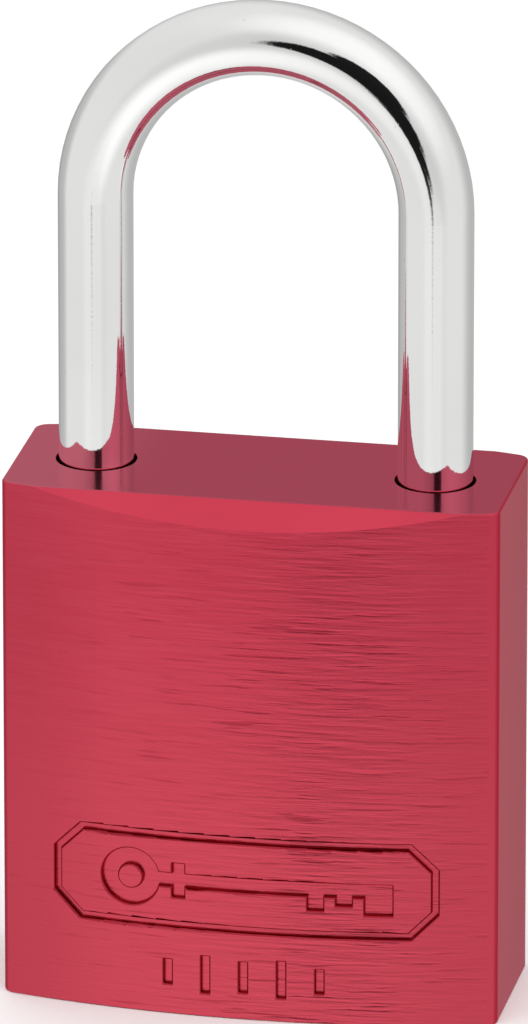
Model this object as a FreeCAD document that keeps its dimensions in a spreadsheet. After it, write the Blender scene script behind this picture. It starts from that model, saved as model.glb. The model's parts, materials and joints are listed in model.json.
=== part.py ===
"""Keyed padlock with a crowned aluminium body, a chromed steel shackle and a five-pin core.

Millimetres, +Z up along the shackle legs. The origin is the middle of the body's flat underside.
The engraved front face looks along -Y, the short (toe) leg is at -X and the long (heel) leg at +X.
The lock is modelled closed with its core turned to the open position, so the bolts are drawn in:
turning the core 90 degrees about -Z pushes both bolts into the notches of the shackle legs.
"""

import FreeCAD, Part
import math
import os

import Sketcher
from FreeCAD import Placement, Rotation, Vector

doc = FreeCAD.newDocument("padlock")
sheet = doc.addObject("Spreadsheet::Sheet", "Dimensions")


# ---------------------------------------------------------------- sizes bound to the spreadsheet

class Size:
    """A number together with the spreadsheet expression that gives it."""

    def __init__(self, value, text):
        self.value = value
        self.text = text

    def combined(self, other, sign, value):
        other_text = other.text if isinstance(other, Size) else repr(float(other))
        return Size(value, f"({self.text} {sign} {other_text})")

    def __add__(self, other):
        return self.combined(other, "+", self.value + number(other))

    def __sub__(self, other):
        return self.combined(other, "-", self.value - number(other))

    def __mul__(self, other):
        return self.combined(other, "*", self.value * number(other))

    def __truediv__(self, other):
        return self.combined(other, "/", self.value / number(other))

    def __neg__(self):
        return Size(-self.value, f"(0 - {self.text})")


def number(size):
    return size.value if isinstance(size, Size) else float(size)


def text(size):
    return size.text if isinstance(size, Size) else repr(float(size))


def cell(alias, value, meaning):
    """Writes one driving dimension into the sheet and returns it as a Size."""
    cell.row += 1
    sheet.set(f"A{cell.row}", meaning)
    sheet.set(f"B{cell.row}", str(value))
    sheet.setAlias(f"B{cell.row}", alias)
    return Size(float(value), f"Dimensions.{alias}")


cell.row = 0

# body
body_width = cell("body_width", 30.0, "body, side to side")
body_depth = cell("body_depth", 14.2, "body, crown to crown")
edge_depth = cell("edge_depth", 10.6, "body, front to back at its sides")
body_height = cell("body_height", 32.4, "body, underside to top face")
corner_radius = cell("corner_radius", 0.9, "rounding of the four upright edges")
rim_radius = cell("rim_radius", 0.12, "edge break round the underside")
top_break = cell("top_break", 0.15, "edge break round the top face")
bevel_run = cell("bevel_run", 1.4, "top bevels, measured in from the crown")
bevel_drop = cell("bevel_drop", 1.5, "top bevels, measured down the crown")
# engraved mark
frame_length = cell("frame_length", 23.2, "engraved frame, overall length")
frame_height = cell("frame_height", 6.0, "engraved frame, overall height")
frame_corner = cell("frame_corner", 1.6, "engraved frame, cut across each corner")
frame_line = cell("frame_line", 0.34, "engraved frame, width of the line's floor")
frame_rise = cell("frame_rise", 8.5, "middle of the frame above the underside")
engraving_depth = cell("engraving_depth", 0.34, "depth of all engraving below the crown")
engraving_shoulder = cell("engraving_shoulder", 0.22, "rounded shoulder of all engraving")
bow_place = cell("bow_place", 6.9, "key symbol, middle of its bow to the left of the middle")
bow_radius = cell("bow_radius", 1.75, "key symbol, bow")
bow_hole = cell("bow_hole", 0.8, "key symbol, radius of the bow's hole")
shaft_start = cell("shaft_start", 5.4, "key symbol, shaft's root to the left of the middle")
shaft_end = cell("shaft_end", 8.9, "key symbol, shaft's end to the right of the middle")
shaft_height = cell("shaft_height", 0.8, "key symbol, shaft")
tally_rise = cell("tally_rise", 2.65, "middle of the row of strokes above the underside")
tally_pitch = cell("tally_pitch", 2.3, "stroke to stroke")
tally_width = cell("tally_width", 0.45, "floor of a stroke")
# shackle
shackle_dia = cell("shackle_dia", 4.5, "shackle bar")
leg_spacing = cell("leg_spacing", 20.5, "between the leg axes")
arch_rise = cell("arch_rise", 16.6, "centre of the arch above the top face")
leg_clearance = cell("leg_clearance", 0.17, "radial gap round a leg in its hole")
mouth_break = cell("mouth_break", 0.04, "edge break at the mouth of a leg hole")
toe_depth = cell("toe_depth", 8.8, "toe leg inside the body when closed")
toe_hole_depth = cell("toe_hole_depth", 9.8, "toe hole")
heel_depth = cell("heel_depth", 22.0, "heel leg inside the body when closed")
heel_hole_depth = cell("heel_hole_depth", 27.9, "heel hole")
toe_tip = cell("toe_tip", 0.7, "bevel round the toe leg's end")
heel_tip = cell("heel_tip", 0.35, "bevel round the heel leg's end")
neck_radius = cell("neck_radius", 1.3, "heel leg's waist")
collar_height = cell("collar_height", 1.5, "full-size foot below the waist")
notch_depth = cell("notch_depth", 1.0, "bolt notch, measured in from the leg's surface")
notch_height = cell("notch_height", 4.1, "bolt notch along the leg")
# bolts
bolt_rise = cell("bolt_rise", 27.0, "bolt axis above the underside")
bolt_radius = cell("bolt_radius", 1.8, "locking bolt")
bolt_slack = cell("bolt_slack", 0.05, "radial gap round a bolt in its bore")
bolt_inner = cell("bolt_inner", 0.9, "inner end of a drawn-in bolt from the middle")
bolt_outer = cell("bolt_outer", 7.75, "outer end of a drawn-in bolt from the middle")
bolt_travel = cell("bolt_travel", 1.1, "bolt throw")
nose_bevel = cell("nose_bevel", 0.35, "bevel round a bolt's nose")
stud_radius = cell("stud_radius", 0.5, "cam stud under a bolt")
stud_reach = cell("stud_reach", 1.7, "cam stud from the core axis, bolt drawn in")
stud_foot = cell("stud_foot", 22.9, "cam stud's lower end above the underside")
stud_root = cell("stud_root", 1.5, "cam stud's upper end below the bolt axis, inside the bolt")
spring_bore = cell("spring_bore", 1.15, "radius of the spring pocket in a bolt")
pocket_end = cell("pocket_end", 5.4, "bottom of the spring pocket from the middle")
# core and pins
core_radius = cell("core_radius", 4.0, "core")
core_slack = cell("core_slack", 0.03, "radial gap round the core")
core_recess = cell("core_recess", 0.15, "core face above the underside")
core_mouth = cell("core_mouth", 0.3, "edge break at the mouth of the core bore")
core_top = cell("core_top", 20.0, "core shoulder above the underside")
cam_radius = cell("cam_radius", 3.95, "cam drum")
cam_top = cell("cam_top", 24.7, "cam drum's rim above the underside")
cam_floor = cell("cam_floor", 22.7, "floor of the cam's spiral pocket above the underside")
cam_gap = cell("cam_gap", 0.12, "from a stud to the wall that drives it")
bore_top = cell("bore_top", 29.0, "end of the core bore above the underside")
tenon_width = cell("tenon_width", 2.0, "tenon that drives the cam")
tenon_length = cell("tenon_length", 5.0, "tenon across the core")
tenon_height = cell("tenon_height", 1.5, "tenon above the core shoulder")
tenon_fit = cell("tenon_fit", 0.1, "how much larger than the tenon its mortise is")
keyway_top = cell("keyway_top", 16.8, "blind end of the keyway above the underside")
pin_radius = cell("pin_radius", 1.1, "key pins, driver pins and core retaining pin")
pin_slack = cell("pin_slack", 0.05, "radial gap round a pin")
pin_sink = cell("pin_sink", 0.03, "key pin's crown below the core's surface")
pin_first = cell("pin_first", 4.0, "lowest pin axis above the underside")
pin_pitch = cell("pin_pitch", 2.8, "pin axis to pin axis")
pin_hole_end = cell("pin_hole_end", 0.1, "floor of a pin hole in the core, short of the core axis")
driver_gap = cell("driver_gap", 0.06, "driver pin above the shear line")
driver_length = cell("driver_length", 3.0, "driver pin")
driver_bevel = cell("driver_bevel", 0.2, "bevel at both ends of a driver pin")
plug_length = cell("plug_length", 2.6, "chamber plug")
end_gap = cell("end_gap", 0.1, "end of a fixed pin or plug to the moving piece behind it")
retainer_rise = cell("retainer_rise", 18.2, "core retaining pin above the underside")
groove_floor = cell("groove_floor", 3.1, "radius of the core under its retaining groove")
dowel_radius = cell("dowel_radius", 0.8, "shackle retaining pin")
dowel_rise = cell("dowel_rise", 22.4, "shackle retaining pin above the underside")
dowel_front = cell("dowel_front", 3.2, "blind end of that pin in front of the middle")
dowel_back = cell("dowel_back", 6.5, "visible end of that pin behind the middle")
# springs
wire_radius = cell("wire_radius", 0.14, "wire of the chamber and bolt springs")
coil_radius = cell("coil_radius", 0.85, "coil of the chamber and bolt springs, to the wire's middle")
heavy_wire = cell("heavy_wire", 0.3, "wire of the shackle spring")
heavy_coil = cell("heavy_coil", 1.7, "coil of the shackle spring, to the wire's middle")

half_width = body_width / 2
half_depth = body_depth / 2
half_edge = edge_depth / 2
crown_rise = half_depth - half_edge
crown_radius = (half_width * half_width + crown_rise * crown_rise) / (crown_rise * 2)
leg_radius = shackle_dia / 2
leg_reach = leg_spacing / 2
leg_hole_radius = leg_radius + leg_clearance
shear_radius = core_radius + core_slack
chamber_radius = pin_radius + pin_slack
bolt_bore_radius = bolt_radius + bolt_slack
doc.recompute()

KEY_PIN_LENGTHS = (2.5, 3.1, 2.8, 3.4, 2.6)
pin_rises = [pin_first + pin_pitch * i for i in range(len(KEY_PIN_LENGTHS))]
side_hole_rises = pin_rises + [retainer_rise]
dowel_place = leg_reach - neck_radius - dowel_radius - end_gap

TALLY_HEIGHTS = (1.5, 2.3, 1.9, 2.3, 1.5)
# teeth of the key symbol: left edge, width, reach below and above the shaft's middle line
KEY_SYMBOL_TEETH = (
    (-4.3, 0.7, 1.05, 1.05),
    (3.9, 0.9, 1.3, 0.4),
    (5.6, 0.9, 0.95, 0.4),
    (7.3, 1.6, 1.5, 0.4),
)
CHAMBER_SPRING_TURNS = 7
BOLT_SPRING_TURNS = 15
SHACKLE_SPRING_TURNS = 5

PAST = 1.0       # how far a cutting tool runs past the surface that it starts from
CLOSE = 0.01     # two places this near are the same place


# ---------------------------------------------------------------- helpers

def bind(thing, **sizes):
    """Binds properties such as Length, or Placement's place as x, y, z, to expressions."""
    for name, size in sizes.items():
        path = f"Placement.Base.{name}" if name in ("x", "y", "z") else name
        thing.setExpression(path, text(size))
    return thing


def box(name, length, width, height, x, y, z):
    """A block from its lowest corner."""
    made = doc.addObject("Part::Box", name)
    return bind(made, Length=length, Width=width, Height=height, x=x, y=y, z=z)


TURNS = {
    "+Z": Rotation(),
    "-Z": Rotation(Vector(1, 0, 0), 180),
    "+X": Rotation(Vector(0, 1, 0), 90),
    "-X": Rotation(Vector(0, 1, 0), -90),
    "+Y": Rotation(Vector(1, 0, 0), -90),
    "-Y": Rotation(Vector(1, 0, 0), 90),
}


def cylinder(name, radius, height, along, x, y, z):
    """A round bar that starts at x, y, z and runs along the named direction."""
    made = doc.addObject("Part::Cylinder", name)
    made.Placement = Placement(Vector(), TURNS[along])
    return bind(made, Radius=radius, Height=height, x=x, y=y, z=z)


def fused(name, *pieces):
    made = doc.addObject("Part::MultiFuse", name)
    made.Shapes = list(pieces)
    made.Refine = True
    return made


def cut(name, base, *tools):
    made = doc.addObject("Part::Cut", name)
    made.Base = base
    made.Tool = tools[0] if len(tools) == 1 else fused(name + "Tools", *tools)
    made.Refine = True
    return made


def body(name):
    return doc.addObject("PartDesign::Body", name)


def sketch_on(owner, name, role="XY_Plane", lift=0):
    """A sketch on one of its own body's origin planes, moved along the plane's normal by lift."""
    made = owner.newObject("Sketcher::SketchObject", name)
    plane = next(f for f in owner.Origin.OriginFeatures if f.Role == role)
    made.AttachmentSupport = [(plane, "")]
    made.MapMode = "FlatFace"
    made.setExpression("AttachmentOffset.Base.z", text(lift))
    return made


def fix_point(sketch, geometry, point, x, y):
    """Holds one point of the sketch at x, y from the sketch origin, bound to the sheet."""
    for kind, size in (("DistanceX", x), ("DistanceY", y)):
        index = sketch.addConstraint(Sketcher.Constraint(kind, -1, 1, geometry, point, number(size)))
        sketch.setExpression(f"Constraints[{index}]", text(size))


def draw_outline(sketch, points):
    """A closed outline of straight lines through the points."""
    corners = [Vector(number(x), number(y), 0) for x, y in points]
    first = sketch.GeometryCount
    count = len(corners)
    for i in range(count):
        sketch.addGeometry(Part.LineSegment(corners[i], corners[(i + 1) % count]))
    for i in range(count):
        following = first + (i + 1) % count
        sketch.addConstraint(Sketcher.Constraint("Coincident", first + i, 2, following, 1))
        fix_point(sketch, first + i, 1, *points[i])
    return sketch


def draw_circle(sketch, radius, x=0, y=0):
    made = sketch.addGeometry(Part.Circle(Vector(number(x), number(y), 0), Vector(0, 0, 1), number(radius)))
    index = sketch.addConstraint(Sketcher.Constraint("Radius", made, number(radius)))
    sketch.setExpression(f"Constraints[{index}]", text(radius))
    fix_point(sketch, made, 3, x, y)
    return sketch


def pad(owner, sketch, name, length):
    made = owner.newObject("PartDesign::Pad", name)
    made.Profile = sketch
    return bind(made, Length=length)


def pocket(owner, sketch, name, length, reverse=False):
    """Cuts the sketch away over a length, along its plane's normal if reverse, else against it."""
    before = owner.Tip
    doc.recompute()
    volume = before.Shape.Volume
    made = owner.newObject("PartDesign::Pocket", name)
    made.Profile = sketch
    made.Reversed = reverse
    bind(made, Length=length)
    doc.recompute()
    if made.Shape.Volume >= volume - 1e-6:
        raise RuntimeError(f"{name} cuts nothing")
    return made


def spin(owner, sketch, name):
    """A full revolution of the sketch about its own vertical axis."""
    made = owner.newObject("PartDesign::Revolution", name)
    made.Profile = sketch
    made.ReferenceAxis = (sketch, ["V_Axis"])
    made.Angle = 360
    return made


def edges_where(shape, test):
    """Names of the edges whose bounding box passes the test."""
    return [f"Edge{i}" for i, edge in enumerate(shape.Edges, 1) if test(edge.BoundBox)]


def eased(kind, name, base, *choices):
    """Rounds ("Part::Fillet") or slopes ("Part::Chamfer") edges of base: each choice is a test and a size."""
    doc.recompute()
    made = doc.addObject(kind, name)
    made.Base = base
    made.Edges = [(i, size.value, size.value) for i, edge in enumerate(base.Shape.Edges, 1)
                  for test, size in choices if test(edge)]
    return made


# ---------------------------------------------------------------- lock body

def crowned_block():
    """The crowned bar of aluminium, cut to length, with its bevels and broken edges."""
    block = body("CrownedBlock")
    plan = sketch_on(block, "Plan")
    corners = [(-half_width, -half_edge), (half_width, -half_edge),
               (half_width, half_edge), (-half_width, half_edge)]
    places = [Vector(number(x), number(y), 0) for x, y in corners]
    crown = Vector(0, half_depth.value, 0)
    front = plan.addGeometry(Part.Arc(places[0], -crown, places[1]))
    right = plan.addGeometry(Part.LineSegment(places[1], places[2]))
    back = plan.addGeometry(Part.Arc(places[2], crown, places[3]))
    left = plan.addGeometry(Part.LineSegment(places[3], places[0]))
    loop = (front, right, back, left)
    for i, piece in enumerate(loop):
        plan.addConstraint(Sketcher.Constraint("Coincident", piece, 2, loop[(i + 1) % 4], 1))
        fix_point(plan, piece, 1, *corners[i])
    for arc in (front, back):
        index = plan.addConstraint(Sketcher.Constraint("Radius", arc, crown_radius.value))
        plan.setExpression(f"Constraints[{index}]", crown_radius.text)
    pad(block, plan, "Bar", body_height)

    for side, way in (("Front", -1), ("Back", 1)):
        wedge = sketch_on(block, f"{side}Wedge", "YZ_Plane", -body_width)
        draw_outline(wedge, [
            ((half_depth - bevel_run * 2) * way, body_height + bevel_drop),
            ((half_depth + bevel_run) * way, body_height + bevel_drop),
            ((half_depth + bevel_run) * way, body_height - bevel_drop * 2),
        ])
        pocket(block, wedge, f"{side}Bevel", body_width * 2, reverse=True)

    doc.recompute()
    tall = body_height.value / 2
    top = body_height.value - CLOSE
    for name, radius, test in (
        ("UprightEdges", corner_radius, lambda b: b.ZLength > tall),
        ("Rim", rim_radius, lambda b: b.ZMax < CLOSE),
        ("TopBreak", top_break, lambda b: b.ZMin > top),
    ):
        base = block.Tip
        chosen = edges_where(base.Shape, test)
        rounding = block.newObject("PartDesign::Fillet", name)
        rounding.Base = (base, chosen)
        bind(rounding, Radius=radius)
        doc.recompute()
    return block


def cut_corner_plate(name, length, height):
    """A plate in front of the crown, round the frame's middle, with its four corners cut off."""
    owner = body(name)
    outline = sketch_on(owner, name + "Outline", "XZ_Plane", half_depth + PAST)
    # the cut shrinks with the plate, so that a frame between two plates is equally wide all round
    corner = frame_corner - (frame_length - length) * (1 - math.sqrt(0.5))
    across, along = length / 2, length / 2 - corner
    low, high = frame_rise - height / 2, frame_rise + height / 2
    draw_outline(outline, [
        (-along, low), (along, low), (across, low + corner), (across, high - corner),
        (along, high), (-along, high), (-across, high - corner), (-across, low + corner),
    ])
    plate = pad(owner, outline, name + "Pad", half_depth)
    plate.Reversed = True
    return owner


def key_symbol():
    """A flat picture of a key as one solid: a ring for its bow, a shaft and four teeth."""
    front = -half_depth - PAST
    ring = cut("Bow", cylinder("BowDisc", bow_radius, half_depth, "+Y", -bow_place, front, frame_rise),
               cylinder("BowHole", bow_hole, half_depth, "+Y", -bow_place, front, frame_rise))
    shaft = box("Shaft", shaft_start + shaft_end, half_depth, shaft_height,
                -shaft_start, front, frame_rise - shaft_height / 2)
    teeth = [box(f"Tooth{i}", width, half_depth, below + above, left, front, frame_rise - below)
             for i, (left, width, below, above) in enumerate(KEY_SYMBOL_TEETH)]
    return fused("KeySymbol", ring, shaft, *teeth)


def engraving():
    """A framed key symbol over a row of strokes, sunk to an even depth under the front crown."""
    line = frame_line * 2
    frame = cut("Frame", cut_corner_plate("FrameOutside", frame_length, frame_height),
                cut_corner_plate("FrameInside", frame_length - line, frame_height - line))
    middle = (len(TALLY_HEIGHTS) - 1) / 2
    tally = [box(f"Tally{i}", tally_width, half_depth, height, tally_pitch * (i - middle) - tally_width / 2,
                 -half_depth - PAST, tally_rise - height / 2) for i, height in enumerate(TALLY_HEIGHTS)]
    floor = cylinder("EngravingFloor", crown_radius - engraving_depth, body_height, "+Z",
                     0, crown_radius - half_depth, 0)
    return cut("Engraving", fused("Marks", frame, key_symbol(), *tally), floor)


def at_mark(edge):
    """Whether an edge is where the engraving meets the front crown."""
    near = edge.BoundBox
    if near.ZMin < rim_radius.value * 2 or near.ZMax > frame_rise.value + frame_height.value:
        return False
    middle = crown_radius.value - half_depth.value
    return all(p.y < 0 and abs(math.hypot(p.x, p.y - middle) - crown_radius.value) < CLOSE
               for p in edge.discretize(5))


def lock_body():
    """The machined body: two leg holes, the core bore, the bolt bore, six pin chambers and a dowel hole."""
    toe_floor = body_height - toe_hole_depth
    heel_floor = body_height - heel_hole_depth
    side = half_width + PAST
    bores = [
        cylinder("ToeHole", leg_hole_radius, toe_hole_depth + PAST, "+Z", -leg_reach, 0, toe_floor),
        cylinder("HeelHole", leg_hole_radius, heel_hole_depth + PAST, "+Z", leg_reach, 0, heel_floor),
        cylinder("CoreBore", shear_radius, bore_top + PAST, "+Z", 0, 0, -PAST),
        cylinder("BoltBore", bolt_bore_radius, side + leg_reach, "+X", -side, 0, bolt_rise),
        cylinder("DowelHole", dowel_radius, dowel_front + half_depth, "+Y",
                 dowel_place, -dowel_front, dowel_rise),
    ]
    for i, rise in enumerate(side_hole_rises, 1):
        bores.append(cylinder(f"Chamber{i}", chamber_radius, side, "-X", 0, 0, rise))
    engraved = cut("EngravedBlock", crowned_block(), engraving())
    stamped = eased("Part::Fillet", "StampedBlock", engraved, (at_mark, engraving_shoulder))
    bored = cut("BoredBody", stamped, *bores)

    def mouth(level, radius):
        """A test for the edge of a round hole of this radius in the flat face at this level."""
        return lambda edge: (abs(edge.BoundBox.ZMax - level) < CLOSE and edge.BoundBox.ZLength < CLOSE
                             and abs(edge.BoundBox.YLength - radius.value * 2) < CLOSE)

    leg_mouth = mouth(body_height.value, leg_hole_radius)
    return eased("Part::Fillet", "LockBody", bored, (leg_mouth, mouth_break), (mouth(0, shear_radius), core_mouth))


# ---------------------------------------------------------------- shackle

def shackle():
    """A half-round arch on two legs; the heel leg has a waist, and both legs have a notch for a bolt."""
    arch_z = body_height + arch_rise
    toe_z = body_height - toe_depth
    heel_z = body_height - heel_depth
    arch = doc.addObject("Part::Torus", "Arch")
    arch.Placement = Placement(Vector(), TURNS["-Y"])
    bind(arch, Radius1=leg_reach, Radius2=leg_radius, Angle3=180, z=arch_z)
    toe = cylinder("ToeLeg", leg_radius, arch_z - toe_z, "+Z", -leg_reach, 0, toe_z)
    heel = cylinder("HeelLeg", leg_radius, arch_z - heel_z, "+Z", leg_reach, 0, heel_z)
    bar = fused("ShackleBar", arch, toe, heel)

    def round_at(level):
        """A test for the round edge of a leg that ends at this level."""
        return lambda edge: abs(edge.BoundBox.ZMax - level) < CLOSE and edge.BoundBox.ZLength < CLOSE

    tips = eased("Part::Chamfer", "ShackleTips", bar,
                 (round_at(toe_z.value), toe_tip), (round_at(heel_z.value), heel_tip))

    waist_bottom = heel_z + collar_height
    waist_height = toe_z - waist_bottom
    ring = cut("WaistRing",
               cylinder("WaistOutside", leg_radius + PAST, waist_height, "+Z", leg_reach, 0, waist_bottom),
               cylinder("WaistInside", neck_radius, waist_height, "+Z", leg_reach, 0, waist_bottom))
    notch_z = bolt_rise - notch_height / 2
    notch_reach = notch_depth + PAST
    inner = leg_reach - leg_radius
    right = box("HeelNotch", notch_reach, shackle_dia, notch_height, inner - PAST, -leg_radius, notch_z)
    left = box("ToeNotch", notch_reach, shackle_dia, notch_height, -inner - notch_depth, -leg_radius, notch_z)
    return cut("Shackle", tips, ring, left, right)


# ---------------------------------------------------------------- core, cam and bolts

def core():
    """The turning core: pin holes towards -Y, a warded keyway, a retaining groove and a driving tenon."""
    owner = body("CoreBarrel")
    side = sketch_on(owner, "CoreSide", "XZ_Plane")
    bevel = 0.3
    groove_low, groove_high = retainer_rise - chamber_radius, retainer_rise + chamber_radius
    draw_outline(side, [
        (0, core_recess), (core_radius - bevel, core_recess), (core_radius, core_recess + bevel),
        (core_radius, groove_low), (groove_floor, groove_low), (groove_floor, groove_high),
        (core_radius, groove_high), (core_radius, core_top), (0, core_top),
    ])
    spin(owner, side, "CoreTurned")
    # the slot runs along Y, 1.4 wide, and its wards narrow it twice, from the left and from both sides
    keyway = sketch_on(owner, "Keyway", lift=core_recess)
    half_slot, ward = 0.7, 0.2
    draw_outline(keyway, [
        (half_slot, -2.1), (half_slot, -0.5), (ward, -0.1), (ward, 0.9), (half_slot, 1.3),
        (half_slot, 3.3), (-half_slot, 3.3), (-half_slot, 2.9), (-ward, 2.5), (-ward, 1.7),
        (-half_slot, 1.3), (-half_slot, -2.1),
    ])
    pocket(owner, keyway, "KeywaySlot", keyway_top - core_recess, reverse=True)
    holes = [cylinder(f"PinHole{i + 1}", chamber_radius, core_radius, "-Y", 0, -pin_hole_end, rise)
             for i, rise in enumerate(pin_rises)]
    tenon = box("Tenon", tenon_width, tenon_length, tenon_height,
                -tenon_width / 2, -tenon_length / 2, core_top)
    return fused("Core", cut("CoreDrilled", owner, *holes), tenon)


def spiral(turn):
    """Radius of the cam pocket's wall at an angle in degrees from where a stud sits when drawn in."""
    throw, dwell, back = 90, 108, 145
    low = stud_reach.value + stud_radius.value + cam_gap.value
    turn = turn % 180
    if turn < throw:
        return low + bolt_travel.value * turn / throw
    if turn < dwell:
        return low + bolt_travel.value
    if turn < back:
        return low + bolt_travel.value * (back - turn) / (back - dwell)
    return low


def cam():
    """A drum on the core's tenon. Two spiral walls in its top move the bolt studs evenly as it turns."""
    drum = cylinder("CamDrum", cam_radius, cam_top - core_top, "+Z", 0, 0, core_top)
    step = 6
    wall = [Vector(spiral(a) * math.cos(math.radians(a)), spiral(a) * math.sin(math.radians(a)), 0)
            for a in range(0, 360, step)]
    spline = Part.BSplineCurve()
    spline.interpolate(wall, PeriodicFlag=True)
    face = Part.Face(Part.Wire(spline.toShape()))
    hollow = doc.addObject("Part::Feature", "CamPocket")
    hollow.Shape = face.extrude(Vector(0, 0, cam_top.value - cam_floor.value + PAST))
    hollow.Placement.Base = Vector(0, 0, cam_floor.value)
    width, length = tenon_width + tenon_fit, tenon_length + tenon_fit
    mortise = box("Mortise", width, length, tenon_height + tenon_fit, -width / 2, -length / 2, core_top)
    return cut("Cam", drum, hollow, mortise)


def bolt(name, way):
    """A locking bolt on one side: bevelled nose, spring pocket in its inner end, cam stud underneath."""
    along = "+X" if way > 0 else "-X"
    bar = cylinder(name + "Bar", bolt_radius, bolt_outer - bolt_inner, along, bolt_inner * way, 0, bolt_rise)

    def at_nose(edge):
        return edge.BoundBox.Center.x * way > bolt_outer.value - CLOSE

    nose = eased("Part::Chamfer", name + "Nose", bar, (at_nose, nose_bevel))
    stud_length = bolt_rise - stud_root - stud_foot
    stud = cylinder(name + "Stud", stud_radius, stud_length, "+Z", stud_reach * way, 0, stud_foot)
    hollow = cylinder(name + "Pocket", spring_bore, pocket_end, along, 0, 0, bolt_rise)
    return cut(name, fused(name + "Solid", nose, stud), hollow)


# ---------------------------------------------------------------- pins, plugs and springs

def key_pin(index, length):
    """A key pin on its own axis: domed towards the shear line, pointed towards the key."""
    owner = body(f"KeyPin{index}")
    side = sketch_on(owner, f"KeyPin{index}Side", "XZ_Plane")
    crown, crown_flat, point, point_flat = 0.17, 0.35, 0.8, 0.3
    draw_outline(side, [
        (0, 0), (crown_flat, 0), (pin_radius, crown),
        (pin_radius, length - point), (point_flat, length), (0, length),
    ])
    spin(owner, side, f"KeyPin{index}Turned")
    owner.Placement = Placement(Vector(), TURNS["+Y"])
    return bind(owner, x=0, y=pin_sink - core_radius, z=pin_rises[index - 1])


def driver_pin(index):
    """A driver pin on its own axis, bevelled at both ends, just outside the shear line."""
    owner = body(f"DriverPin{index}")
    side = sketch_on(owner, f"DriverPin{index}Side", "XZ_Plane")
    inner = pin_radius - driver_bevel
    draw_outline(side, [
        (0, 0), (inner, 0), (pin_radius, driver_bevel), (pin_radius, driver_length - driver_bevel),
        (inner, driver_length), (0, driver_length),
    ])
    spin(owner, side, f"DriverPin{index}Turned")
    owner.Placement = Placement(Vector(), TURNS["-X"])
    return bind(owner, x=-(core_radius + driver_gap), y=0, z=pin_rises[index - 1])


def spring(name, wire, coil, length, turns, along, x, y, z):
    """A compression spring of round wire that starts at x, y, z and takes up the given length."""
    owner = body(name)
    section = sketch_on(owner, name + "Wire", "XZ_Plane")
    draw_circle(section, wire, coil, wire)
    helix = owner.newObject("PartDesign::AdditiveHelix", name + "Helix")
    helix.Profile = section
    helix.ReferenceAxis = (section, ["V_Axis"])
    helix.Mode = "pitch-height-angle"
    rise = length - wire * 2
    bind(helix, Pitch=rise / turns, Height=rise)
    owner.Placement = Placement(Vector(), TURNS[along])
    return bind(owner, x=x, y=y, z=z)


def chamber_plugs():
    """Six plugs, flush with the body's side, that close the five pin chambers and the retaining pin's."""
    inner = plug_length - half_width
    plugs = [cylinder(f"ChamberPlug{i}", chamber_radius, plug_length, "-X", inner, 0, rise)
             for i, rise in enumerate(side_hole_rises, 1)]
    made = doc.addObject("Part::Compound", "ChamberPlugs")
    made.Links = plugs
    return made


# ---------------------------------------------------------------- the assembly

parts = {
    "lock_body": lock_body(),
    "shackle": shackle(),
    "core": core(),
    "core_cam": cam(),
    "bolt_left": bolt("BoltLeft", -1),
    "bolt_right": bolt("BoltRight", 1),
}
driver_end = core_radius + driver_gap + driver_length
spring_room = half_width - plug_length - driver_end
for n, pin_length in enumerate(KEY_PIN_LENGTHS, 1):
    parts[f"key_pin_{n}"] = key_pin(n, pin_length)
    parts[f"driver_pin_{n}"] = driver_pin(n)
    parts[f"chamber_spring_{n}"] = spring(f"ChamberSpring{n}", wire_radius, coil_radius, spring_room,
                                          CHAMBER_SPRING_TURNS, "-X", -driver_end, 0, pin_rises[n - 1])
parts["chamber_plugs"] = chamber_plugs()
parts["bolt_bore_plug"] = cylinder("BoltBorePlug", bolt_bore_radius, half_width - leg_reach - leg_hole_radius,
                                   "+X", -half_width, 0, bolt_rise)
retainer_inner = groove_floor + end_gap
retainer_length = half_width - plug_length - retainer_inner
parts["core_retaining_pin"] = cylinder("CoreRetainingPin", pin_radius, retainer_length, "-X",
                                       -retainer_inner, 0, retainer_rise)
parts["shackle_retaining_pin"] = cylinder("ShackleRetainingPin", dowel_radius, dowel_front + dowel_back,
                                          "+Y", dowel_place, -dowel_front, dowel_rise)
parts["bolt_spring"] = spring("BoltSpring", wire_radius, coil_radius, pocket_end * 2, BOLT_SPRING_TURNS,
                              "+X", -pocket_end, 0, bolt_rise)
parts["shackle_spring"] = spring("ShackleSpring", heavy_wire, heavy_coil, heel_hole_depth - heel_depth,
                                 SHACKLE_SPRING_TURNS, "+Z", leg_reach, 0, body_height - heel_hole_depth)

doc.recompute()
for thing in doc.Objects:
    if "Invalid" in thing.State or "Error" in thing.State:
        raise RuntimeError(f"{thing.Name} failed: {thing.State}")

os.makedirs("parts", exist_ok=True)
for label, thing in parts.items():
    thing.Label = label
    shape = thing.Shape
    if shape.isNull() or not shape.isValid() or not shape.Solids:
        raise RuntimeError(f"{label} has no valid solid")
    shape.exportStep(f"parts/{label}.step")
    print(f"{label}: {len(shape.Solids)} solid(s), {shape.Volume:.2f} mm3")
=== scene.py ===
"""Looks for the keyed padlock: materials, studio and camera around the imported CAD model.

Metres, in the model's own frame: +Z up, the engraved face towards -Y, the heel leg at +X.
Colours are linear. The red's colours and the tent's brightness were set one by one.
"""

import json
import math

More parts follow.
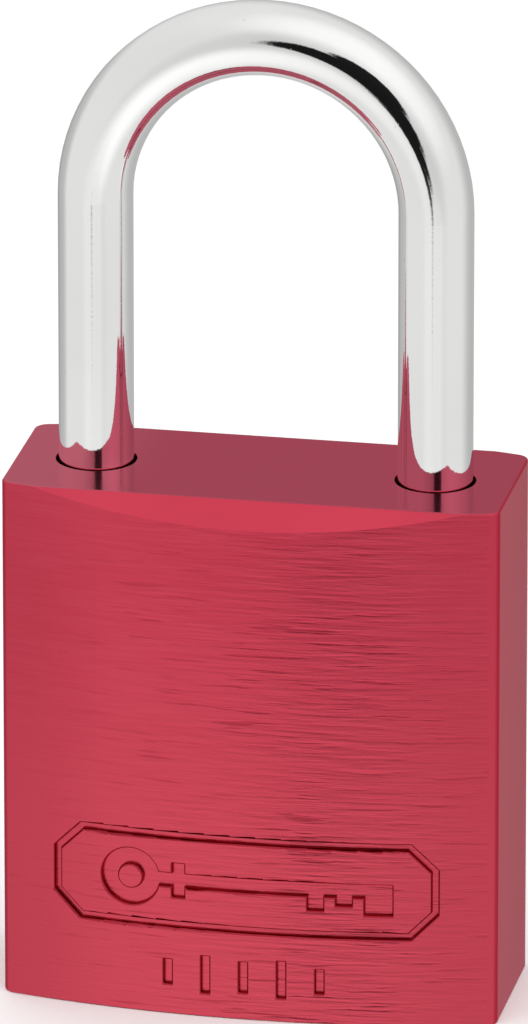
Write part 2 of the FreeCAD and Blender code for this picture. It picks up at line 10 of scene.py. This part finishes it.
import bpy
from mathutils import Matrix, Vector

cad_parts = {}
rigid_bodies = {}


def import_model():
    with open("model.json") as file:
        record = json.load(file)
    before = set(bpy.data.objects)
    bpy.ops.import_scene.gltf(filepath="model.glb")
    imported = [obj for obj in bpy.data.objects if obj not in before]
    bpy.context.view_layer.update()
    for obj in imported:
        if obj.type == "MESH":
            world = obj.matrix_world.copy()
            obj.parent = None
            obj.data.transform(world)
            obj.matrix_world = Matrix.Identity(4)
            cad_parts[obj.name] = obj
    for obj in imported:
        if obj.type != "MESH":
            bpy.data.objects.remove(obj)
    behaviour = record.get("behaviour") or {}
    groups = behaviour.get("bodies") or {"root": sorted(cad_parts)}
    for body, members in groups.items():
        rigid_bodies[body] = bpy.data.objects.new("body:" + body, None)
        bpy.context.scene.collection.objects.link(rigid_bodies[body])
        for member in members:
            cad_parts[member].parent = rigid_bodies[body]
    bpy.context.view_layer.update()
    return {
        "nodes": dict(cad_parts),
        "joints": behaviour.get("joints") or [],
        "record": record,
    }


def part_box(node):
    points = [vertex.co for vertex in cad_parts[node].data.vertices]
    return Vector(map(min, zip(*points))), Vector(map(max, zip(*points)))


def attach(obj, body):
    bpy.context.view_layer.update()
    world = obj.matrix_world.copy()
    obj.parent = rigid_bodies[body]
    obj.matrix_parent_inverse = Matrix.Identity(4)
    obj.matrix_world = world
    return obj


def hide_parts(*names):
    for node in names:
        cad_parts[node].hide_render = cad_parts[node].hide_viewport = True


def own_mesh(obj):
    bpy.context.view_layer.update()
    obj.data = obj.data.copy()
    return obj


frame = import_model()
nodes = frame["nodes"]

MM = 0.001
body_low, body_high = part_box("lock_body")
BODY_TOP = body_high.z
BODY_FRONT = -body_low.y
CROWN_RADIUS = 63.4 * MM
ENGRAVING_DEPTH = 0.34 * MM
BLACK = (0.0, 0.0, 0.0, 1)
WHITE = (1.0, 1.0, 1.0, 1)


# ---------------------------------------------------------------- helpers

class Graph:
    """A short way to add shader nodes to one material or world and to link them."""

    def __init__(self, tree):
        self.tree = tree
        tree.nodes.clear()

    def add(self, kind, **settings):
        node = self.tree.nodes.new(kind)
        for name, value in settings.items():
            setattr(node, name, value)
        return node

    def link(self, source, target):
        self.tree.links.new(source, target)

    def feed(self, socket, value):
        """Sets an input to a number or colour, or links it to another node's output."""
        if isinstance(value, bpy.types.NodeSocket):
            self.link(value, socket)
        else:
            socket.default_value = value

    def math(self, operation, *inputs):
        node = self.add("ShaderNodeMath", operation=operation)
        for socket, value in zip(node.inputs, inputs):
            self.feed(socket, value)
        return node.outputs[0]

    def product(self, first, second):
        return self.math("MULTIPLY", first, second)

    def size(self, value):
        return self.math("ABSOLUTE", value)

    def ramp(self, value, low, high, start=0.0, end=1.0):
        """Maps low..high smoothly to start..end."""
        node = self.add("ShaderNodeMapRange", interpolation_type="SMOOTHSTEP")
        for socket, number in zip(node.inputs, (value, low, high, start, end)):
            self.feed(socket, number)
        return node.outputs[0]

    def mix(self, share, first, second):
        node = self.add("ShaderNodeMix", data_type="RGBA")
        self.feed(node.inputs[0], share)
        self.feed(node.inputs[6], first)
        self.feed(node.inputs[7], second)
        return node.outputs[2]

    def split(self, vector):
        node = self.add("ShaderNodeSeparateXYZ")
        self.link(vector, node.inputs[0])
        return node.outputs

    def noise(self, vector, scale, detail=2.0, roughness=0.5):
        node = self.add("ShaderNodeTexNoise")
        self.feed(node.inputs["Vector"], vector)
        self.feed(node.inputs["Scale"], scale)
        self.feed(node.inputs["Detail"], detail)
        self.feed(node.inputs["Roughness"], roughness)
        return node.outputs[0]

    def drawn_noise(self, vector, scales, offset=0.0, detail=2.0, roughness=0.5):
        """Noise with its own scale on each axis, so that it is drawn out along the small ones."""
        node = self.add("ShaderNodeMapping")
        self.feed(node.inputs["Vector"], vector)
        self.feed(node.inputs["Scale"], scales)
        self.feed(node.inputs["Location"], (offset, offset * 0.7, offset * 1.3))
        return self.noise(node.outputs[0], 1.0, detail, roughness)

    def bump(self, height, distance, normal=None):
        node = self.add("ShaderNodeBump")
        self.feed(node.inputs["Height"], height)
        self.feed(node.inputs["Distance"], distance)
        self.feed(node.inputs["Strength"], 1.0)
        if normal is not None:
            self.feed(node.inputs["Normal"], normal)
        return node.outputs[0]

    def place(self):
        """Position on the part, in metres, which does not move when the part does."""
        return self.add("ShaderNodeTexCoord").outputs["Object"]


def material(name):
    made = bpy.data.materials.new(name)
    made.use_nodes = True
    graph = Graph(made.node_tree)
    shader = graph.add("ShaderNodeBsdfPrincipled")
    output = graph.add("ShaderNodeOutputMaterial")
    graph.link(shader.outputs[0], output.inputs["Surface"])
    return made, graph, shader


def add_object(name, data):
    made = bpy.data.objects.new(name, data)
    bpy.context.scene.collection.objects.link(made)
    return made


def compass(azimuth, elevation):
    """Unit vector towards a point of the compass, in degrees; azimuth 0 is -Y and 90 is +X."""
    a = math.radians(azimuth)
    e = math.radians(elevation)
    return Vector((math.sin(a) * math.cos(e), -math.cos(a) * math.cos(e), math.sin(e)))


# ---------------------------------------------------------------- red anodised aluminium

def face_normal(graph, x, y, in_mark):
    """The normal, softened at edges; on the crowns and the engraving's floor, the crown's own.

    Beside the engraving the mesh's smoothed normals are uneven.
    """
    edge_radius = 0.09 * MM
    near, far = 0.022 * MM, 0.032 * MM   # distance from a surface that still counts as on it
    softened = graph.add("ShaderNodeBevel", samples=6)
    softened.inputs["Radius"].default_value = edge_radius
    across = graph.math("ADD", graph.size(y), CROWN_RADIUS - BODY_FRONT)
    reach = graph.math("SQRT", graph.math("MULTIPLY_ADD", x, x, graph.product(across, across)))
    depth = graph.math("SUBTRACT", CROWN_RADIUS, reach)
    on_face = graph.ramp(graph.size(depth), far, near)
    to_floor = graph.size(graph.math("SUBTRACT", depth, ENGRAVING_DEPTH))
    on_floor = graph.product(graph.ramp(to_floor, far, near), in_mark)
    outward = graph.add("ShaderNodeCombineXYZ")
    graph.link(x, outward.inputs[0])
    graph.link(graph.product(graph.math("SIGN", y), across), outward.inputs[1])
    turned = graph.add("ShaderNodeVectorTransform", vector_type="NORMAL",
                       convert_from="OBJECT", convert_to="WORLD")
    graph.link(outward.outputs[0], turned.inputs[0])
    unit = graph.add("ShaderNodeVectorMath", operation="NORMALIZE")
    graph.link(turned.outputs[0], unit.inputs[0])
    crown_share = graph.math("MAXIMUM", on_face, on_floor)
    return graph.mix(crown_share, softened.outputs[0], unit.outputs[0])


def red_aluminium():
    """Anodised body: brushed across the crowned faces, smooth on the rest, with painted shade on the
    mark's walls.
    """
    made, graph, shader = material("red_anodised_aluminium")
    where = graph.place()
    x, y, z = graph.split(where)
    from_middle = graph.size(x)
    in_mark = graph.product(graph.ramp(from_middle, 12.4 * MM, 12.0 * MM),
                            graph.ramp(z, 12.3 * MM, 12.0 * MM))
    normal = face_normal(graph, x, y, in_mark)
    nx, ny, nz = graph.split(normal)
    across = graph.size(ny)

    # each is 1 on its own faces and 0 elsewhere; brushed is 1 on the two crowned faces
    brushed = graph.product(graph.ramp(across, 0.80, 0.93), graph.ramp(graph.size(nz), 0.10, 0.04))
    wall = graph.math("SUBTRACT", 1.0, graph.ramp(across, 0.80, 0.96))
    # painted shade: the walls of the mark on the front, darkened where the groove shades itself
    groove_painted_shade = graph.product(graph.product(wall, in_mark), graph.ramp(y, -4.5 * MM, -5.2 * MM))
    on_top = graph.ramp(nz, 0.85, 0.97)
    on_side = graph.ramp(graph.size(nx), 0.75, 0.92)

    # brushing: fine scratches along X, and deeper short ones in patches, fewer towards the sides
    fine = graph.drawn_noise(where, (250, 250, 3900))
    hair = graph.drawn_noise(where, (500, 500, 7500), 3.1)
    streak = graph.drawn_noise(where, (220, 220, 3300), 7.7, 3.0)
    area = graph.drawn_noise(where, (120, 120, 120), 1.9)
    cloud = graph.noise(where, 90.0, 3.0)
    fading = graph.ramp(from_middle, 5 * MM, 14 * MM, 1.0, 0.3)
    brushing = graph.product(brushed, fading)
    streaks = graph.product(graph.ramp(streak, 0.56, 0.70), graph.ramp(area, 0.30, 0.60))
    streaks = graph.product(streaks, brushing)

    # the front: two shades in clouds, lighter scratches, a painted highlight on the lower part and
    # painted shade at the outer edges
    shade, other_shade = (0.64, 0.054, 0.092, 1), (0.68, 0.061, 0.104, 1)
    base = graph.mix(graph.ramp(cloud, 0.3, 0.7), shade, other_shade)
    scratches = graph.product(graph.ramp(fine, 0.35, 0.7), graph.product(brushed, 0.16))
    base = graph.mix(scratches, base, (0.80, 0.11, 0.16, 1))
    # painted highlight: the lower part is made lighter, for the bright table it reflects
    lower_painted_highlight = graph.product(graph.ramp(z, 30 * MM, 8 * MM), 0.75)
    base = graph.mix(lower_painted_highlight, base, (0.76, 0.085, 0.125, 1))
    # painted shade: the outer edges are made darker, where the crowned face turns away from the
    # bright zones
    edge_painted_shade = graph.product(graph.ramp(from_middle, 7 * MM, 14.5 * MM), 0.38)
    base = graph.mix(edge_painted_shade, base, (0.50, 0.045, 0.076, 1))
    # painted light on the sides and the top: the sides darken in painted shade from front to back,
    # and the top has its own paler painted sheen, lighter from the middle to the toe side
    side = graph.mix(graph.ramp(y, -5 * MM, 3 * MM), (0.66, 0.042, 0.078, 1), (0.55, 0.032, 0.062, 1))
    base = graph.mix(on_side, base, side)
    # painted sheen: the top's paler colour, lighter towards the toe side
    top = graph.mix(graph.ramp(x, -6 * MM, -13 * MM), (0.46, 0.10, 0.145, 1), (0.57, 0.17, 0.22, 1))
    base = graph.mix(on_top, base, top)
    # the deep scratches, and painted shade on the mark's walls
    base = graph.mix(graph.product(streaks, 0.40), base, (0.30, 0.012, 0.03, 1))
    base = graph.mix(graph.product(groove_painted_shade, 0.75), base, (0.26, 0.006, 0.016, 1))
    graph.feed(shader.inputs["Base Color"], base)
    shader.inputs["Metallic"].default_value = 1.0
    shader.inputs["Specular Tint"].default_value = (1.0, 0.52, 0.58, 1)

    rough = graph.math("MULTIPLY_ADD", brushed, 0.12, 0.16)
    uneven = graph.math("SUBTRACT", hair, 0.5)
    rough = graph.math("MULTIPLY_ADD", uneven, graph.product(brushed, 0.15), rough)
    rough = graph.math("MULTIPLY_ADD", graph.math("SUBTRACT", cloud, 0.5), 0.05, rough)
    graph.feed(shader.inputs["Roughness"], rough)

    height = graph.math("MULTIPLY_ADD", fine, 0.7, graph.product(hair, 0.2))
    height = graph.product(height, brushing)
    height = graph.math("MULTIPLY_ADD", streaks, -0.4, height)
    graph.feed(shader.inputs["Normal"], graph.bump(height, 0.026 * MM, normal))
    return made


# ---------------------------------------------------------------- chrome, brass and steel

def chrome():
    """Polished chrome plate with a few fine scuffs."""
    made, graph, shader = material("polished_chrome")
    where = graph.place()
    cloud = graph.noise(where, 120.0, 3.0)
    scuff = graph.drawn_noise(where, (2600, 2600, 700), 2.3, 3.0, 0.6)
    scuffed = graph.ramp(scuff, 0.70, 0.78)
    shade, other_shade = (0.89, 0.887, 0.88, 1), (0.93, 0.928, 0.92, 1)
    base = graph.mix(graph.ramp(cloud, 0.3, 0.7), shade, other_shade)
    base = graph.mix(graph.product(scuffed, 0.35), base, (0.35, 0.35, 0.36, 1))
    graph.feed(shader.inputs["Base Color"], base)
    shader.inputs["Metallic"].default_value = 1.0
    rough = graph.math("MULTIPLY_ADD", cloud, 0.03, 0.025)
    graph.feed(shader.inputs["Roughness"], graph.math("MULTIPLY_ADD", scuffed, 0.12, rough))
    ripple = graph.noise(where, 5200.0, 2.0, 0.6)
    height = graph.math("MULTIPLY_ADD", scuffed, 0.8, ripple)
    graph.feed(shader.inputs["Normal"], graph.bump(height, 0.0012 * MM))
    return made


def turned_metal(name, dark, light, roughness, scale):
    """Lathe-turned or drawn metal: fine rings of tone, with darker, rougher patches."""
    made, graph, shader = material(name)
    where = graph.place()
    rings = graph.drawn_noise(where, (500, 500, scale), 0.0, 3.0, 0.6)
    cloud = graph.noise(where, 260.0, 4.0, 0.55)
    base = graph.mix(graph.ramp(cloud, 0.3, 0.7), dark, light)
    base = graph.mix(graph.product(graph.ramp(rings, 0.45, 0.75), 0.25), base, dark)
    graph.feed(shader.inputs["Base Color"], base)
    shader.inputs["Metallic"].default_value = 1.0
    rough = graph.math("MULTIPLY_ADD", rings, 0.12, roughness)
    graph.feed(shader.inputs["Roughness"], graph.math("MULTIPLY_ADD", cloud, 0.08, rough))
    graph.feed(shader.inputs["Normal"], graph.bump(rings, 0.004 * MM))
    return made


def dress():
    """Gives each CAD node the material of its slot in the record."""
    brass = (0.50, 0.33, 0.11, 1), (0.80, 0.60, 0.26, 1)
    steel = (0.36, 0.36, 0.37, 1), (0.62, 0.62, 0.63, 1)
    wire = (0.30, 0.30, 0.31, 1), (0.66, 0.66, 0.68, 1)
    finishes = {
        "body_red": red_aluminium(),
        "shackle_chrome": chrome(),
        "brass": turned_metal("turned_brass", *brass, roughness=0.20, scale=5000),
        "steel": turned_metal("plated_steel", *steel, roughness=0.25, scale=3000),
        "spring_steel": turned_metal("spring_wire", *wire, roughness=0.22, scale=4000),
    }
    for part in frame["record"]["subparts"]:
        for slot in nodes[part["node"]].material_slots:
            slot.material = finishes[part["material_slot"]]


def chamber_coils():
    """Copies of the chamber springs, each attached to the parent body of its driver pin's joint, in
    place of the hidden CAD springs.
    """
    for joint in frame["joints"]:
        if not joint["name"].startswith("driver_pin_"):
            continue
        deforming = joint["deforming_nodes"][0]
        cad_spring = deforming["node"]
        coil = add_object(f"{cad_spring}_coil", nodes[cad_spring].data.copy())
        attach(coil, joint["parent"])
        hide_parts(cad_spring)
        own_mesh(coil)


# ---------------------------------------------------------------- studio

WALLS = 0.80   # brightness of the tent where nothing below changes it
# azimuth, elevation, size, fading edge, change of brightness
ZONES = (
    (50, 50, 30, 28, 0.24),       # key side, above right
    (4, -44, 20, 20, 0.24),       # bright table in front
    (14, -34, 14, 10, 0.08),
    (10, -19, 6, 6, -0.05),
    (-165, -30, 10, 8, 0.45),     # bright table behind
    (165, -22, 42, 28, -0.30),    # far walls
    (-125, -15, 22, 18, -0.30),
    (12, 8, 30, 14, -0.14),       # dim wall round the opening
    (0, 90, 30, 30, 0.04),        # roof
)
# azimuth, elevation and size of the discs that make up the tent's dark opening
OPENING = (
    (3.5, 4.5, 13.5),
    (17, 16, 11.5),
    (11, 3, 11),
    (5, -6, 9),
    (-1.5, 1, 8.5),
    (-0.5, -13.5, 4.4),
    (-3, -15.2, 2.0),
)
OPENING_EDGE = 1.6
OPENING_DARKNESS = 0.985


def studio_world():
    """A light tent with brighter and dimmer zones and a dark opening; the camera sees white."""
    world = bpy.data.worlds.new("light_tent")
    bpy.context.scene.world = world
    world.use_nodes = True
    graph = Graph(world.node_tree)
    direction = graph.add("ShaderNodeTexCoord").outputs["Generated"]

    def patch(azimuth, elevation, size, edge):
        """1 inside a disc of the given size in degrees, fading to 0 over its edge."""
        node = graph.add("ShaderNodeVectorMath", operation="DOT_PRODUCT")
        graph.feed(node.inputs[0], direction)
        node.inputs[1].default_value = compass(azimuth, elevation)
        inner = math.cos(math.radians(max(size - edge, 0)))
        outer = math.cos(math.radians(size + edge))
        return graph.ramp(node.outputs["Value"], outer, inner)

    light = WALLS
    for azimuth, elevation, size, edge, change in ZONES:
        light = graph.math("MULTIPLY_ADD", patch(azimuth, elevation, size, edge), change, light)
    opening = 0.0
    for azimuth, elevation, size in OPENING:
        opening = graph.math("MAXIMUM", patch(azimuth, elevation, size, OPENING_EDGE), opening)
    let_through = graph.math("SUBTRACT", 1.0, graph.product(opening, OPENING_DARKNESS))
    light = graph.product(light, let_through)

    tent = graph.add("ShaderNodeBackground")
    tent.inputs["Color"].default_value = WHITE
    graph.link(light, tent.inputs["Strength"])
    plain = graph.add("ShaderNodeBackground")
    plain.inputs["Color"].default_value = WHITE
    seen = graph.add("ShaderNodeLightPath").outputs["Is Camera Ray"]
    mixed = graph.add("ShaderNodeMixShader")
    graph.link(seen, mixed.inputs[0])
    graph.link(tent.outputs[0], mixed.inputs[1])
    graph.link(plain.outputs[0], mixed.inputs[2])
    output = graph.add("ShaderNodeOutputWorld")
    graph.link(mixed.outputs[0], output.inputs["Surface"])


def floor():
    """A pale table top, well past the camera's view; from below it is clear, to show the keyway."""
    half = 1.5
    level = -0.02 * MM
    corners = [(-half, -half, level), (half, -half, level), (half, half, level), (-half, half, level)]
    mesh = bpy.data.meshes.new("floor")
    mesh.from_pydata(corners, [], [(0, 1, 2, 3)])
    made = add_object("floor", mesh)
    paint, graph, shader = material("pale_table")
    shade = graph.ramp(graph.noise(graph.place(), 30.0, 3.0), 0.3, 0.7, 0.90, 0.93)
    graph.feed(shader.inputs["Base Color"], graph.mix(shade, BLACK, WHITE))
    shader.inputs["Roughness"].default_value = 0.6
    surface = shader.outputs[0].links[0].to_socket
    one_sided = graph.add("ShaderNodeMixShader")
    graph.link(graph.add("ShaderNodeNewGeometry").outputs["Backfacing"], one_sided.inputs[0])
    graph.link(shader.outputs[0], one_sided.inputs[1])
    graph.link(graph.add("ShaderNodeBsdfTransparent").outputs[0], one_sided.inputs[2])
    graph.link(one_sided.outputs[0], surface)
    mesh.materials.append(paint)
    made.visible_glossy = False


def overhead_light():
    """A square soft box, nearly overhead, that faces the lock and does not show in reflections."""
    distance = 1.0
    data = bpy.data.lights.new("overhead", "AREA")
    data.shape = "SQUARE"
    data.size = 1.0
    data.energy = 5.0
    lamp = add_object("overhead", data)
    lamp.visible_glossy = False
    spot = compass(0, 80) * distance
    lamp.location = Vector((0, 0, BODY_TOP / 2)) + spot
    lamp.rotation_euler = (-spot).to_track_quat("-Z", "Y").to_euler()


def camera():
    """A long lens, a little to the right of the lock and above it: it sees the heel side and top."""
    distance = 0.92
    data = bpy.data.cameras.new("camera")
    data.sensor_fit = "VERTICAL"
    data.sensor_height = 36.0
    data.lens = 544.8
    data.clip_start = 0.1
    data.clip_end = 20.0
    made = add_object("camera", data)
    made.location = Vector((0, 0, BODY_TOP)) + compass(11.1, 19.5) * distance
    aim = Vector((-0.1 * MM, 0, BODY_TOP - 2.75 * MM))
    made.rotation_euler = (aim - made.location).to_track_quat("-Z", "Y").to_euler()
    bpy.context.scene.camera = made


dress()
chamber_coils()
studio_world()
floor()
overhead_light()
bpy.context.scene.view_settings.view_transform = "Standard"
camera()
